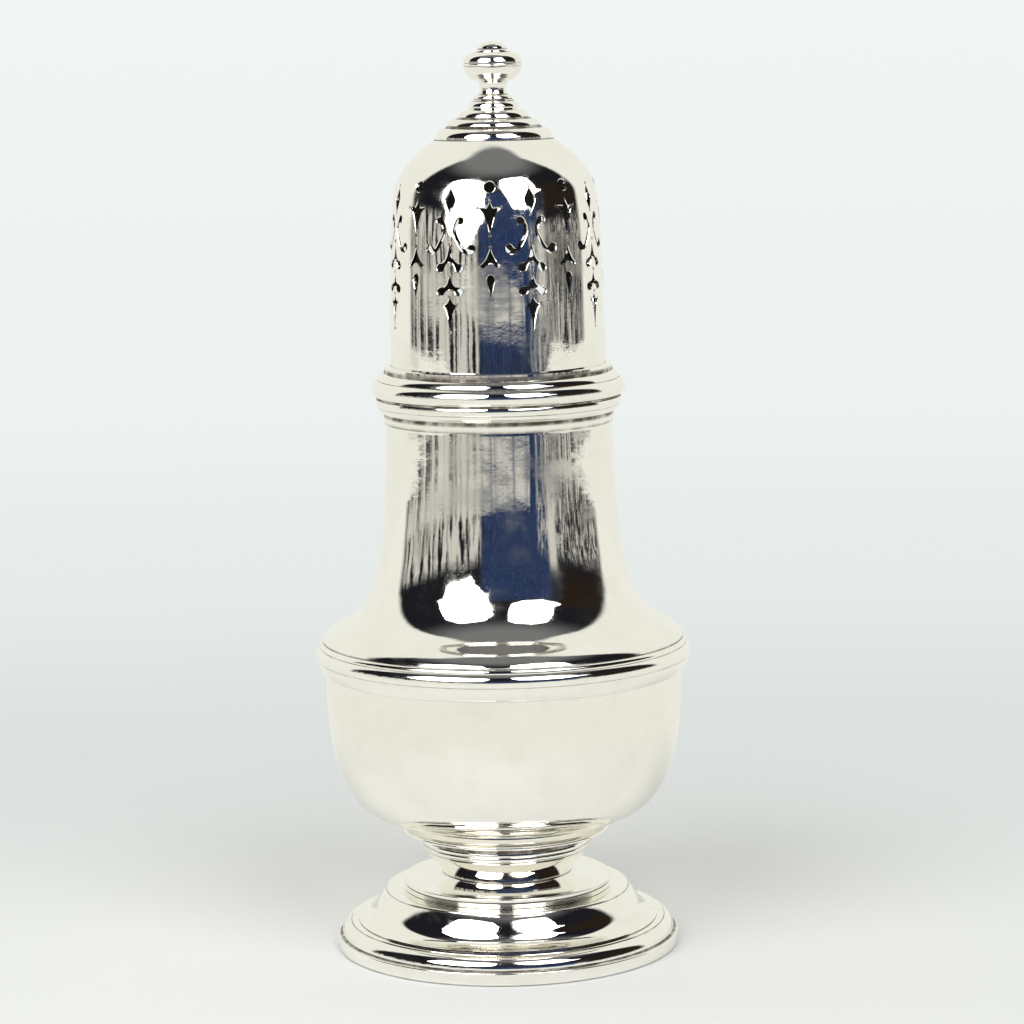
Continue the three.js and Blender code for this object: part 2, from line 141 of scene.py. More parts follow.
def joinPiece(bm, name, body, node):
    piece = bpy.data.objects.new(name, finishMesh(bm, name))
    scene.collection.objects.link(piece)
    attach(piece, body)
    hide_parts(node)
    pieces.append(piece)


# smooth faces with sharp creases; a float on each point says how deep in a hollow crease it lies
def finishMesh(bm, name):
    bmesh.ops.recalc_face_normals(bm, faces=bm.faces)
    hollow = bm.verts.layers.float.get("hollow") or bm.verts.layers.float.new("hollow")
    for face in bm.faces:
        face.smooth = True
        middle = face.calc_center_median()
        outward = Vector((middle.x, middle.y, 0)).normalized()
        # inside faces take the second material, whose near-black colour is painted shade
        face.material_index = 1 if face.normal.dot(outward) < inwardFacing else 0
    for edge in bm.edges:
        if len(edge.link_faces) == 2:
            turn = edge.calc_face_angle_signed(0)
            edge.smooth = abs(turn) < math.radians(fineness["crease"])
            for vert in edge.verts:
                vert[hollow] = max(vert[hollow], min(-turn / math.radians(fineness["fullCrease"]), 1))
    mesh = bpy.data.meshes.new(name)
    bm.to_mesh(mesh)
    bm.free()
    return mesh


def baseOf(node):
    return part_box(node)[0].z / mm


# spins an outline round the axis; the outline closes on itself or ends on the axis
def turnPiece(name, body, node, line, below=0, steps=fineness["turn"]):
    base = baseOf(node) + below
    bm = bmesh.new()
    hollow = bm.verts.layers.float.new("hollow")
    corners = [bm.verts.new((p.x * mm, 0, (p.y + base) * mm)) for p in line]
    next(vert for vert in corners if vert.co.x > 0)[hollow] = seamDirt
    edges = [bm.edges.new(pair) for pair in zip(corners, corners[1:])]
    if line[0].x > 0:
        edges.append(bm.edges.new((corners[-1], corners[0])))
    bmesh.ops.spin(
        bm, geom=corners + edges, cent=(0, 0, 0), axis=(0, 0, 1),
        angle=2 * math.pi, steps=steps, use_merge=True,
    )
    bmesh.ops.remove_doubles(bm, verts=bm.verts, dist=fineness["weld"])
    joinPiece(bm, name, body, node)


def points(*pairs):
    return [Vector(pair) for pair in pairs]


gauge = {"sheet": 0.8, "coverSheet": 0.7}
pieces = []

# foot
footRim = {
    "start": (36.1, 0),
    "members": [(0.1, 0.25), (0, 2.05), (-0.25, 0.3, 0.41), (-0.65, 0.3), (-2.0, 2.5, 0.36), (-0.1, 0.2)],
    "inner": 30.9,
    "bed": (33.4, 1.2),
    "hollow": 3.8,
}
line = mouldingLine(footRim["start"], footRim["members"])
line += points((footRim["inner"], line[-1].y), (footRim["inner"], footRim["hollow"]))
line += points(footRim["bed"], (footRim["bed"][0], 0))
turnPiece("turnedFootRim", "caster_body", "foot_rim", line)

footDome = {
    "start": (31.75, 0),
    "edge": 0.3,
    "curves": [
        ((-3.75, 2.7), (-2.0, 0.35), (-3.2, 1.35)),
        ((-2.3, 3.3), (-0.4, 1.0), (-1.45, 2.5)),
    ],
    "brow": [(-0.5, 0.35, 0.4)],
    "hole": 13.2,
}
wall = sweptLine((footDome["start"][0], footDome["edge"]), footDome["curves"])
line = points(footDome["start"]) + wall + mouldingLine(wall[-1], footDome["brow"])[1:]
top = line[-1].y
under = top - gauge["sheet"]
inside = [p for p in insetLine(wall, gauge["sheet"]) if 0 < p.y < under]
line += points((footDome["hole"], top), (footDome["hole"], under), (inside[-1].x, under))
line += inside[::-1] + points((inside[0].x, 0))
turnPiece("spunFootDome", "caster_body", "foot_dome", line)

footReed = {"start": (21.9, 0), "members": [(0, 0.45, 0.8), (0, 0.45, 0.8)], "hole": 13.2}
line = mouldingLine(footReed["start"], footReed["members"])
line += points((footReed["hole"], line[-1].y), (footReed["hole"], 0))
turnPiece("reededFootWire", "caster_body", "foot_reed", line)

footKnop = {
    "start": (21.7, 0),
    "members": [(0.3, 0.3), (0, 0.5), (-0.2, 0.2, 0.41)],
    "dish": [((-7.9, 1.15), (-2.3, -0.65), (-6.5, -0.4))],
    "hole": 13.1,
}
line = mouldingLine(footKnop["start"], footKnop["members"])
line += sweptLine(line[-1], footKnop["dish"])[1:]
line += points((footKnop["hole"], line[-1].y), (footKnop["hole"], 0))
turnPiece("turnedFootKnop", "caster_body", "foot_knop", line)

footStem = {
    "start": (13.9, 0),
    "flare": [((3.45, 5.4), (0.6, 2.8), (3.1, 3.4))],
    "members": [(0.45, 0.1), (0.1, 0.95, 0.3), (0, 0.95, 0.3)],
}
flare = sweptLine(footStem["start"], footStem["flare"])
line = flare + mouldingLine(flare[-1], footStem["members"])[1:]
inside = insetLine(flare, gauge["sheet"])
inside[0].y = 0
line += points((inside[-1].x, line[-1].y)) + inside[::-1]
turnPiece("turnedFootStem", "caster_body", "foot_stem", line)

footCollar = {
    "start": (18.0, 0),
    "members": [(0, 0.25), (1.7, 0.7), (2.1, 0.7), (-0.1, 0.7, 0.4), (-1.5, 1.25, -0.3), (-0.1, 0.5)],
    "hole": 15.0,
}
line = mouldingLine(footCollar["start"], footCollar["members"])
line += points((footCollar["hole"], line[-1].y), (footCollar["hole"], 0))
turnPiece("turnedFootCollar", "caster_body", "foot_collar", line)
print("foot turned")

# body
lowerBowl = {
    "start": (20.0, 0),
    "curves": [
        ((13.45, 7.4), (4.6, 0.9), (9.4, 0.5)),
        ((3.95, 24.3), (3.85, 7.6), (3.95, 16.1)),
    ],
    "height": 38.7,
}
line = sweptLine(lowerBowl["start"], lowerBowl["curves"])
line += points((line[-1].x, lowerBowl["height"]))
inside = insetLine(line, gauge["sheet"])
inside[0].y = gauge["sheet"]
inside[-1].y = lowerBowl["height"]
line = points((0, 0)) + line + inside[::-1] + points((0, gauge["sheet"]))
turnPiece("spunLowerBowl", "caster_body", "lower_bowl", line)

girdle = {
    "start": (37.6, 0),
    "members": [(1.5, 3.1, 0.2), (-0.5, 2.65, 0.4), (-0.5, 1.1, 0.4)],
    "bore": 37.45,
}
line = mouldingLine(girdle["start"], girdle["members"])
line += points((girdle["bore"], line[-1].y), (girdle["bore"], 0))
turnPiece("reededGirdle", "caster_body", "girdle_moulding", line)

upperBody = {
    "start": (38.0, 0),
    "curves": [
        ((-5.5, 4.2), (-1.2, 2.4), (-3.75, 2.95)),
        ((-5.6, 7.5), (-2.0, 1.35), (-4.3, 3.8)),
        ((-3.3, 33.7), (-2.6, 9.6), (-2.9, 23.6)),
    ],
    "lip": 5.4,
}
line = sweptLine(upperBody["start"], upperBody["curves"])
line += points((line[-1].x, line[-1].y + upperBody["lip"]))
inside = insetLine(line, gauge["sheet"])
# the lower edge is cut level, and is a little thicker than the sheet
inside[0] = Vector((upperBody["start"][0] - gauge["sheet"] * math.sqrt(2), 0))
inside[-1].y = line[-1].y
line += inside[::-1]
turnPiece("spunUpperBody", "caster_body", "upper_body", line)

mouthMoulding = {
    "bore": 23.65,
    "proud": 0.2,
    "members": [(0.15, 1.0), (0, 1.0), (0.2, 0.2), (1.1, 1.4, 0.2), (0.1, 0.1), (0.2, 1.5, 0.25)],
}
line = mouldingLine((mouthMoulding["bore"] + mouthMoulding["proud"], 0), mouthMoulding["members"])
line += points((mouthMoulding["bore"], line[-1].y), (mouthMoulding["bore"], 0))
turnPiece("turnedMouthMoulding", "caster_body", "mouth_moulding", line)
print("body turned")

# cover
coverRim = {
    "start": (25.5, 0),
    "members": [(0.1, 0.35), (-0.4, 3.45, 0.66), (-1.2, 1.5, 0.3), (-0.2, 0.1), (-0.05, 1.2), (-0.15, 0.2)],
    "seat": (22.45, 1.8),
    "clearance": 22.8,
}
line = mouldingLine(coverRim["start"], coverRim["members"])
line += points((coverRim["seat"][0], line[-1].y), coverRim["seat"])
line += points((coverRim["clearance"], coverRim["seat"][1]), (coverRim["clearance"], 0))
turnPiece("turnedCoverRim", "cover", "cover_rim", line)

bezel = {"line": [(22.7, 0), (22.7, 10.15), (21.65, 10.95), (21.65, 15.55)]}
line = points(*bezel["line"])
line += insetLine(line, gauge["sheet"])[::-1]
turnPiece("coverBezelSleeve", "cover", "cover_bezel", line)

coverDome = {
    "radius": 22.4,
    "skirt": 5.4,
    "curves": [
        ((-0.55, 25.0), (-0.04, 8.2), (-0.21, 16.8)),
        ((-1.15, 11.4), (-0.19, 4.3), (-0.48, 8.2)),
        ((-8.2, 9.6), (-0.8, 3.4), (-4.4, 6.9)),
    ],
    "columns": 26,          # cells across one eighth of the turn
    "clearBand": 0.2,       # mm between an opening's edge and the nearest grid point
    "near": 1e-4,           # mm between spots that count as one
    "sheetWeld": 1e-5,
    "weld": 2e-6,           # m
}
# openings in mm: across from the column's line, height on the object, and a third value of 1 at a corner
piercing = {
    "repeats": 8,
    "firstTurn": -3.0,      # degrees
    "sectorStart": 7.15,    # degrees from a plain column's line to the seam between two eighths
    "bevel": 0.13,
    "leastTip": 0.9,        # keeps a sharp tip's bevel short
    "pointStep": 0.24,
    "plain": [
        [
            (0, 158.1, 1), (0.33, 157.35), (0.68, 156.8, 1), (1.4, 156.95), (2.2, 156.9, 1), (1.5, 156.25),
            (1.0, 155.4), (0.65, 154.4), (0.4, 153.4), (0.18, 152.4), (0, 151.5, 1),
        ],
        [
            (0, 148.8, 1), (0.3, 147.9), (0.65, 147.1), (1.25, 146.1), (2.1, 145.35, 1), (1.65, 144.9),
            (1.05, 145.2), (0.55, 145.65), (0, 145.9, 1),
        ],
        [(0, 143.5), (0.55, 143.25), (0.8, 142.6), (0.65, 141.7), (0.35, 140.5), (0, 138.95, 1)],
    ],
    "round": {"height": 161.1, "radius": 1.12, "points": 8},
    "scrolled": [
        [(0, 160.8, 1), (0.6, 159.7), (1.1, 158.5), (0.75, 157.3), (0.35, 156.5), (0, 155.85, 1)],
        [
            (0, 149.5, 1), (0.28, 148.3), (0.6, 147.1), (1.1, 146.25), (1.7, 145.8), (2.4, 145.7),
            (2.95, 145.1), (2.85, 144.45), (2.2, 144.05), (1.5, 144.3), (1.25, 144.9), (0.9, 145.6),
            (0.5, 146.0), (0, 146.15, 1),
        ],
        [
            (0, 143.2, 1), (0.3, 142.4), (0.65, 141.5), (1.2, 141.05), (1.8, 140.95), (2.4, 140.8),
            (2.9, 140.3), (2.75, 139.65), (2.15, 139.3), (1.5, 139.5), (1.2, 139.95), (0.85, 140.3),
            (0.45, 140.5), (0, 140.6, 1),
        ],
        [
            (0, 138.8, 1), (0.35, 138.1), (0.75, 137.6), (1.4, 137.3, 1), (0.95, 136.7), (0.65, 135.9),
            (0.4, 135.0), (0.2, 134.0), (0, 132.2, 1),
        ],
    ],
    "scroll": [
        (2.9, 154.85), (2.35, 155.1), (1.75, 154.9), (1.25, 154.1), (0.9, 153.0), (0.93, 151.8),
        (1.3, 150.7), (2.0, 149.5), (2.8, 148.4), (3.7, 147.7), (4.7, 147.7), (5.45, 148.2),
        (5.6, 149.0), (5.1, 149.55), (4.35, 149.45), (3.9, 148.9), (3.45, 148.65), (2.95, 149.2),
        (2.3, 150.3), (1.65, 151.5), (1.45, 152.6), (1.65, 153.5), (2.15, 153.75), (2.75, 153.85),
        (3.0, 154.35),
    ],
}


# both halves of an opening that stands on its column's line
def mirrored(half):
    return half + [(-p[0], *p[1:]) for p in reversed(half) if p[0] > 0]


# a closed line through the points, with its corners kept
def smoothLoop(corners):
    loop = []
    spots = [Vector(c[:2]) for c in corners]
    sharp = [len(c) > 2 for c in corners]
    count = len(spots)
    for i in range(count):
        j = (i + 1) % count
        start, end = spots[i], spots[j]
        leave = (end - start) if sharp[i] else (end - spots[i - 1]) / 2
        arrive = (end - start) if sharp[j] else (spots[(j + 1) % count] - start) / 2
        steps = max(1, round((end - start).length / piercing["pointStep"]))
        loop += bezierTo(start, start + leave / 3, end - arrive / 3, end, steps)
    area = sum(a.x * b.y - b.x * a.y for a, b in zip(loop, loop[1:] + loop[:1]))
    return loop if area > 0 else loop[::-1]


# the loop moved outwards, with its points kept apart at the tips
def grownLoop(loop, distance):
    grown = []
    for i, spot in enumerate(loop):
        before = (spot - loop[i - 1]).normalized()
        after = (loop[(i + 1) % len(loop)] - spot).normalized()
        outward = Vector((before.y, -before.x)) + Vector((after.y, -after.x))
        length = max(outward.length, piercing["leastTip"])
        grown.append(spot + outward.normalized() * distance * 2 / length)
    return grown


# the openings of one eighth, each with the turn of the column that it stands in
def openingLoops(eighth):
    hole = piercing["round"]
    ring = [2 * math.pi * k / hole["points"] for k in range(hole["points"])]
    drilled = [(hole["radius"] * math.cos(t), hole["height"] + hole["radius"] * math.sin(t)) for t in ring]
    otherScroll = [(-x, z) for x, z in piercing["scroll"]]
    openings = [(drilled, eighth)] + [(mirrored(half), eighth) for half in piercing["plain"]]
    openings += [(mirrored(half), eighth / 2) for half in piercing["scrolled"]]
    openings += [(piercing["scroll"], eighth / 2), (otherScroll, eighth / 2)]
    return [(smoothLoop(corners), turn) for corners, turn in openings]


# one eighth of the dome as a flat sheet with its openings cut, bent to the wall and spun round
def pierceDome():
    wall = points((coverDome["radius"], 0))
    wall += sweptLine((coverDome["radius"], coverDome["skirt"]), coverDome["curves"])
    base = baseOf("cover_dome")
    lengths = [0.0]
    for a, b in zip(wall, wall[1:]):
        lengths.append(lengths[-1] + (b - a).length)

    # radius and height, and the outward normal, at a length along the wall
    def wallAt(along):
        i = min(max(sum(1 for x in lengths if x <= along) - 1, 0), len(wall) - 2)
        share = (along - lengths[i]) / (lengths[i + 1] - lengths[i])
        spot = wall[i].lerp(wall[i + 1], share)
        slopes = [(wall[min(j + 1, len(wall) - 1)] - wall[max(j - 1, 0)]).normalized() for j in (i, i + 1)]
        slope = slopes[0].lerp(slopes[1], share).normalized()
        return spot, Vector((slope.y, -slope.x))

    # length along the wall, and the radius there, at a height on the object
    def alongOf(height):
        local = height - base
        for i in range(len(wall) - 1):
            if wall[i].y <= local <= wall[i + 1].y:
                share = (local - wall[i].y) / (wall[i + 1].y - wall[i].y)
                return lengths[i] + share * (lengths[i + 1] - lengths[i]), wall[i].lerp(wall[i + 1], share).x
        return lengths[-1], wall[-1].x

    eighth = 2 * math.pi / piercing["repeats"]
    sectorStart = math.radians(piercing["sectorStart"])
    flatWidth = eighth * coverDome["radius"]

    # from mm round the wall to the flat sheet, whose x is an angle times the widest radius
    def flattened(loop, turn):
        flat = []
        for spot in loop:
            along, radius = alongOf(spot.y)
            angle = turn - sectorStart + math.atan2(spot.x, radius)
            flat.append(Vector((angle * coverDome["radius"], along)))
        return flat

    spots, edges, faces, depths, keepClear = [], [], [], [], []
    for loop, turn in openingLoops(eighth):
        for outline, sunk in ((loop, 1), (grownLoop(loop, piercing["bevel"]), 0)):
            first = len(spots)
            flat = flattened(outline, turn)
            spots += flat
            depths += [sunk] * len(flat)
            edges += [(first + k, first + (k + 1) % len(flat)) for k in range(len(flat))]
            if sunk:
                faces.append([first + k for k in range(len(flat))])
            else:
                keepClear.append(flat)
    skirt = coverDome["skirt"]
    count = round((lengths[-1] - skirt) / (flatWidth / coverDome["columns"]))
    rows = [0.0, skirt / 2, skirt] + [skirt + (lengths[-1] - skirt) * k / count for k in range(1, count + 1)]
    for along in rows:
        for k in range(coverDome["columns"] + 1):
            spot = Vector((flatWidth * k / coverDome["columns"], along))
            onRim = along in (rows[0], rows[-1]) or k in (0, coverDome["columns"])
            if onRim or not any(nearLoop(spot, loop, coverDome["clearBand"]) for loop in keepClear):
                spots.append(spot)
                depths.append(0)
    sheet = delaunay_2d_cdt(spots, edges, faces, 0, coverDome["sheetWeld"])
    flatSpots, triangles, fromSpot, fromFace = sheet[0], sheet[2], sheet[3], sheet[5]

    bm = bmesh.new()
    sunk = bm.verts.layers.int.new("sunk")
    verts = []
    for spot, origin in zip(flatSpots, fromSpot):
        vert = bm.verts.new((spot.x, spot.y, 0))
        vert[sunk] = max((depths[k] for k in origin), default=0)
        verts.append(vert)
    for triangle, origin in zip(triangles, fromFace):
        if not origin:
            bm.faces.new([verts[k] for k in triangle])
    bmesh.ops.delete(bm, geom=[v for v in bm.verts if not v.link_faces], context="VERTS")
    near = coverDome["near"]
    seam = set()
    for edge in bm.edges:
        a, b = (vert.co.x for vert in edge.verts)
        onSides = all(x < near or x > flatWidth - near for x in (a, b))
        if edge.is_boundary and onSides and abs(a - b) < near:
            seam.add(edge)
    back = bmesh.ops.extrude_face_region(bm, geom=bm.faces[:], edges_exclude=seam, use_keep_orig=True)
    inner = {v for v in back["geom"] if isinstance(v, bmesh.types.BMVert)}
    firstTurn = sectorStart + math.radians(piercing["firstTurn"])
    for vert in bm.verts:
        spot, normal = wallAt(vert.co.y)
        depth = gauge["coverSheet"] if vert in inner else vert[sunk] * piercing["bevel"]
        radius, height = spot.x - normal.x * depth, spot.y - normal.y * depth
        if vert.co.y > lengths[-1] - near and vert in inner:
            height = spot.y - gauge["coverSheet"]
        if vert.co.y < near:
            height = 0
        turn = vert.co.x / coverDome["radius"] + firstTurn
        vert.co = (radius * math.sin(turn) * mm, -radius * math.cos(turn) * mm, (height + base) * mm)
    bmesh.ops.spin(
        bm, geom=bm.verts[:] + bm.edges[:] + bm.faces[:], cent=(0, 0, 0), axis=(0, 0, 1),
        angle=2 * math.pi - eighth, steps=piercing["repeats"] - 1, use_duplicate=True,
    )
    bmesh.ops.remove_doubles(bm, verts=bm.verts, dist=coverDome["weld"])
    return bm


# whether a grid point lies inside an opening or too close to its edge
def nearLoop(spot, loop, clear):
    inside = False
    for a, b in zip(loop, loop[1:] + loop[:1]):
        side = b - a
        share = min(max((spot - a).dot(side) / side.length_squared, 0), 1) if side.length else 0
        if (spot - a - side * share).length < clear:
            return True
        if (a.y > spot.y) != (b.y > spot.y) and spot.x < a.x + side.x * (spot.y - a.y) / side.y:
            inside = not inside
    return inside


bm = pierceDome()
openEdges = sum(1 for edge in bm.edges if len(edge.link_faces) != 2)
print("dome pierced:", len(bm.faces), "faces,", openEdges, "open edges")
joinPiece(bm, "piercedCoverDome", "cover", "cover_dome")

# finial
finialBase = {
    "start": (12.1, 0),
    "members": [
        (0, 0.5), (-2.0, 1.85, 0.4), (-0.5, 0.45), (-1.7, 1.35, 0.4), (-0.6, 0.35), (-1.65, 1.55, 0.4),
    ],
    "hollow": [(2.1, 4.9), (3.4, 4.9), (11.3, 0.5), (11.3, 0)],
}
line = mouldingLine(finialBase["start"], finialBase["members"])
line += points((finialBase["hollow"][0][0], line[-1].y), *finialBase["hollow"])
turnPiece("steppedFinialBase", "cover", "finial_base", line)

finialStem = {
    "start": (5.1, 0),
    "members": [
        (0.1, 0.3), (-0.9, 1.4, 0.45), (-0.2, 0.25), (-0.15, 0.2), (-0.6, 0.75, 0.45), (-0.5, 0.25),
        (0, 2.0, -0.15), (0.5, 0.7, -0.3),
    ],
    "peg": (2.0, 7.6),
    "tenon": (1.2, 2.9),
}
line = mouldingLine(finialStem["start"], finialStem["members"])
pegRadius, pegLength = finialStem["peg"]
tenonRadius, tenonLength = finialStem["tenon"]
top = line[-1].y
line = points((0, -pegLength), (pegRadius, -pegLength), (pegRadius, 0)) + line
line += points((tenonRadius, top), (tenonRadius, top + tenonLength), (0, top + tenonLength))
turnPiece(
    "turnedFinialStem", "cover", "finial_stem", line,
    below=pegLength, steps=fineness["smallTurn"],
)

finialKnob = {
    "start": (3.35, 0),
    "members": [
        (1.65, 0.85, 0.3), (0.95, 2.1, 0.2), (0.02, 0.6, 0.7), (-0.87, 1.8, 0.3), (-0.7, 0.4),
        (-0.9, 0.05), (-0.4, 0.55, 0.4), (-0.2, 0.25), (-1.4, 1.17, 0.25), (-1.5, 0.28, 0.1),
    ],
    "socket": (1.3, 3.1),
}
line = mouldingLine(finialKnob["start"], finialKnob["members"])
line[-1].x = 0
socketRadius, socketDepth = finialKnob["socket"]
line = points((0, socketDepth), (socketRadius, socketDepth), (socketRadius, 0)) + line
turnPiece("turnedFinialKnob", "cover", "finial_knob", line, steps=fineness["smallTurn"])
print("finial turned")


# materials
def addNode(tree, kind, **settings):
    node = tree.nodes.new(kind)
    for key, value in settings.items():
        setattr(node, key, value)
    return node


def feed(tree, socket, value):
    if isinstance(value, bpy.types.NodeSocket):
        tree.links.new(value, socket)
    else:
        socket.default_value = value


def calc(tree, operation, *values, clamp=False):
    node = addNode(tree, "ShaderNodeMath", operation=operation, use_clamp=clamp)
    for socket, value in zip(node.inputs, values):
        feed(tree, socket, value)
    return node.outputs[0]


def ramp(tree, value, low, high, toLow=0.0, toHigh=1.0):
    node = addNode(tree, "ShaderNodeMapRange", interpolation_type="SMOOTHSTEP")
    for socket, given in zip(node.inputs, (value, low, high, toLow, toHigh)):
        feed(tree, socket, given)
    return node.outputs[0]


def blendColour(tree, share, first, second):
    node = addNode(tree, "ShaderNodeMix", data_type="RGBA")
    feed(tree, node.inputs["Factor"], share)
    feed(tree, node.inputs["A"], first)
    feed(tree, node.inputs["B"], second)
    return node.outputs["Result"]


def noise(tree, vector, scale, detail=2.0, roughness=0.5):
    node = addNode(tree, "ShaderNodeTexNoise")
    feed(tree, node.inputs["Vector"], vector)
    node.inputs["Scale"].default_value = scale
    node.inputs["Detail"].default_value = detail
    node.inputs["Roughness"].default_value = roughness
    return node.outputs["Fac"]


def startGroup(name, takes, gives):
    group = bpy.data.node_groups.new(name, "ShaderNodeTree")
    for socket, kind in takes:
        group.interface.new_socket(socket, in_out="INPUT", socket_type=kind)
    for socket, kind in gives:
        group.interface.new_socket(socket, in_out="OUTPUT", socket_type=kind)
    return group, addNode(group, "NodeGroupInput"), addNode(group, "NodeGroupOutput")


# a noise is its scale, detail and roughness; a range is where a mask starts and ends; heights are in m
wearGrain = {
    "leastRadius": 0.0005,      # m
    "lineStretch": 700,
    "lines": (1.6, 3.0, 0.6),
    "swell": (75, 1.0),
    "dents": (260, 2.0),
    "patches": (110, 5.0, 0.65),
    "rubs": (900, 3.0, 0.7),
    "scuffs": (1800, 2.0, 0.6),
    "rubRange": (0.56, 0.74),
    "patchRange": (0.42, 0.68),
    "lineRange": (0.25, 0.75, 0.55, 1.0),
    "rubHaze": 0.6,
    "swellHeight": 1.0e-4,
    "dentHeight": 1.4e-5,
    "lineHeight": 1.6e-6,
    "scuffHeight": 3.0e-6,
}
tarnishGrain = {
    "breaks": (320, 3.0, 0.6),
    "breakRange": (0.3, 0.62, 0.45, 1.0),
    "creaseRange": (0.12, 0.75),
    "freckles": (1500, 2.0, 0.6),
    "freckleRange": (0.7, 0.8),
    "clusters": (140, 2.0),
    "clusterRange": (0.5, 0.66),
}


# hand work and handling: hammer and spinning unevenness, rubbed scratches, a mottled haze
def makeSilverWear():
    group, given, result = startGroup(
        "silverWear",
        [
            ("Position", "NodeSocketVector"),
            ("Unevenness", "NodeSocketFloat"),
            ("Scratches", "NodeSocketFloat"),
        ],
        [("Haze", "NodeSocketFloat"), ("Height", "NodeSocketFloat")],
    )
    place = given.outputs["Position"]
    parts = addNode(group, "ShaderNodeSeparateXYZ")
    group.links.new(place, parts.inputs[0])
    x, y, z = parts.outputs
    radius = calc(group, "ADD", calc(group, "MULTIPLY", x, x), calc(group, "MULTIPLY", y, y))
    radius = calc(group, "MAXIMUM", calc(group, "SQRT", radius), wearGrain["leastRadius"])
    along = addNode(group, "ShaderNodeCombineXYZ")
    feed(group, along.inputs[0], calc(group, "DIVIDE", x, radius))
    feed(group, along.inputs[1], calc(group, "DIVIDE", y, radius))
    outwards = calc(group, "ADD", z, radius)
    feed(group, along.inputs[2], calc(group, "MULTIPLY", outwards, wearGrain["lineStretch"]))
    lines = noise(group, along.outputs[0], *wearGrain["lines"])
    swell, dents, patches, rubs, scuffs = (
        noise(group, place, *wearGrain[kind]) for kind in ("swell", "dents", "patches", "rubs", "scuffs")
    )
    rubs = ramp(group, rubs, *wearGrain["rubRange"])
    patches = ramp(group, patches, *wearGrain["patchRange"])
    haze = calc(group, "MULTIPLY", patches, ramp(group, lines, *wearGrain["lineRange"]))
    haze = calc(group, "MAXIMUM", haze, calc(group, "MULTIPLY", rubs, wearGrain["rubHaze"]), clamp=True)
    group.links.new(haze, result.inputs["Haze"])
    swell = calc(group, "MULTIPLY", swell, wearGrain["swellHeight"])
    dents = calc(group, "MULTIPLY", dents, wearGrain["dentHeight"])
    height = calc(group, "MULTIPLY", calc(group, "ADD", swell, dents), given.outputs["Unevenness"])
    lines = calc(group, "MULTIPLY", lines, wearGrain["lineHeight"])
    scuffs = calc(group, "MULTIPLY", scuffs, wearGrain["scuffHeight"])
    scratch = calc(group, "MULTIPLY", calc(group, "ADD", lines, scuffs), given.outputs["Scratches"])
    group.links.new(calc(group, "ADD", height, scratch), result.inputs["Height"])
    return group


# dark sulphide left in hollow creases, with a few freckles on the open surface
def makeCreaseTarnish():
    group, given, result = startGroup(
        "creaseTarnish",
        [("Position", "NodeSocketVector"), ("Hollow", "NodeSocketFloat"), ("Freckles", "NodeSocketFloat")],
        [("Tarnish", "NodeSocketFloat")],
    )
    place = given.outputs["Position"]
    broken = ramp(group, noise(group, place, *tarnishGrain["breaks"]), *tarnishGrain["breakRange"])
    crease = ramp(group, given.outputs["Hollow"], *tarnishGrain["creaseRange"])
    crease = calc(group, "MULTIPLY", crease, broken)
    freckles = ramp(group, noise(group, place, *tarnishGrain["freckles"]), *tarnishGrain["freckleRange"])
    clusters = ramp(group, noise(group, place, *tarnishGrain["clusters"]), *tarnishGrain["clusterRange"])
    freckles = calc(group, "MULTIPLY", freckles, clusters)
    freckles = calc(group, "MULTIPLY", freckles, given.outputs["Freckles"])
    group.links.new(calc(group, "MAXIMUM", crease, freckles, clamp=True), result.inputs["Tarnish"])
    return group


silverWear = makeSilverWear()
creaseTarnish = makeCreaseTarnish()
finishes = {
    "polished": {
        "colour": (0.965, 0.945, 0.885, 1),
        "hazed": (0.925, 0.9, 0.825, 1),
        "tarnished": (0.12, 0.1, 0.075, 1),
        "roughness": (0.035, 0.15),
        "tarnishRoughness": 0.4,
        "unevenness": 1.0,
        "scratches": 1.0,
        "freckles": 0.6,
    },
    # the inside: dull silver, rougher than the outside, with near-black colours that are painted shade for
    # the dark inside of the caster
    "dullWithPaintedShade": {
        "colour": (0.15, 0.145, 0.135, 1),
        "hazed": (0.09, 0.085, 0.08, 1),
        "tarnished": (0.03, 0.028, 0.025, 1),
        "roughness": (0.4, 0.6),
        "tarnishRoughness": 0.7,
        "unevenness": 1.5,
        "scratches": 3.0,
        "freckles": 1.0,
    },
}


def makeSilver(name, finish):
    material = bpy.data.materials.new(name)
    material.use_nodes = True
    tree = material.node_tree
    shader = tree.nodes["Principled BSDF"]
    shader.inputs["Metallic"].default_value = 1.0
    place = addNode(tree, "ShaderNodeTexCoord").outputs["Object"]
    wear = addNode(tree, "ShaderNodeGroup", node_tree=silverWear)
    wear.inputs["Unevenness"].default_value = finish["unevenness"]
    wear.inputs["Scratches"].default_value = finish["scratches"]
    stain = addNode(tree, "ShaderNodeGroup", node_tree=creaseTarnish)
    stain.inputs["Freckles"].default_value = finish["freckles"]
    for node in (wear, stain):
        tree.links.new(place, node.inputs["Position"])
    hollow = addNode(tree, "ShaderNodeAttribute", attribute_name="hollow").outputs["Fac"]
    tree.links.new(hollow, stain.inputs["Hollow"])
    haze, tarnish = wear.outputs["Haze"], stain.outputs["Tarnish"]
    colour = blendColour(tree, haze, finish["colour"], finish["hazed"])
    tree.links.new(blendColour(tree, tarnish, colour, finish["tarnished"]), shader.inputs["Base Color"])
    smooth, rough = finish["roughness"]
    roughness = ramp(tree, haze, 0.0, 1.0, smooth, rough)
    roughness = calc(tree, "MAXIMUM", roughness, calc(tree, "MULTIPLY", tarnish, finish["tarnishRoughness"]))
    tree.links.new(roughness, shader.inputs["Roughness"])
    bump = addNode(tree, "ShaderNodeBump")
    bump.inputs["Distance"].default_value = 1.0
    tree.links.new(wear.outputs["Height"], bump.inputs["Height"])
    tree.links.new(bump.outputs["Normal"], shader.inputs["Normal"])
    return material


